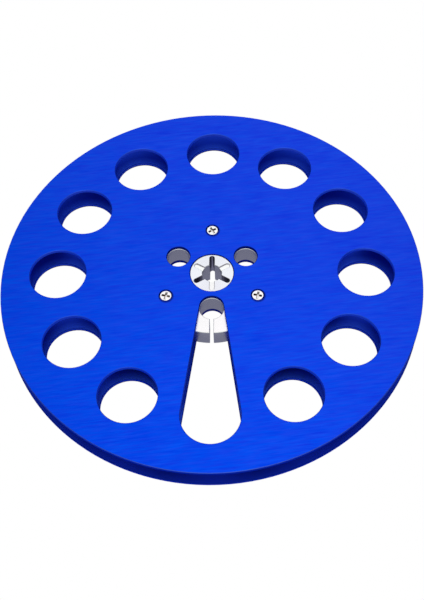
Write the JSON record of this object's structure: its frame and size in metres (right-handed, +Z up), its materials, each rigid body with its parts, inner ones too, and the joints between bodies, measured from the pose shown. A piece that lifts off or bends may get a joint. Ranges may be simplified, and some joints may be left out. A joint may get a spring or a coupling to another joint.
{
  "type": "open reel for recording tape",
  "caption": "Flat reel for quarter-inch tape: pierced round flanges screwed to a turned hub with a slotted spindle bore.",
  "frame": {"origin": "on the spindle axis, at the lower face of the lower flange", "axes": "+Z up the spindle axis, -Y through the middle of the tape-threading opening"},
  "size_m": [0.178, 0.178, 0.0124],
  "materials": {
    "blue_anodised_aluminium": "brushed in straight lines, then anodised saturated blue, satin",
    "turned_aluminium": "bare, turned and milled, fine concentric tool marks",
    "plated_steel": "bright zinc or nickel plate"
  },
  "bodies": {
    "root": {"hub": "turned_aluminium", "top_flange": "blue_anodised_aluminium", "bottom_flange": "blue_anodised_aluminium", "top_screw_1": "plated_steel", "top_screw_2": "plated_steel", "top_screw_3": "plated_steel", "bottom_screw_1": "plated_steel", "bottom_screw_2": "plated_steel", "bottom_screw_3": "plated_steel"}
  },
  "joints": []
}
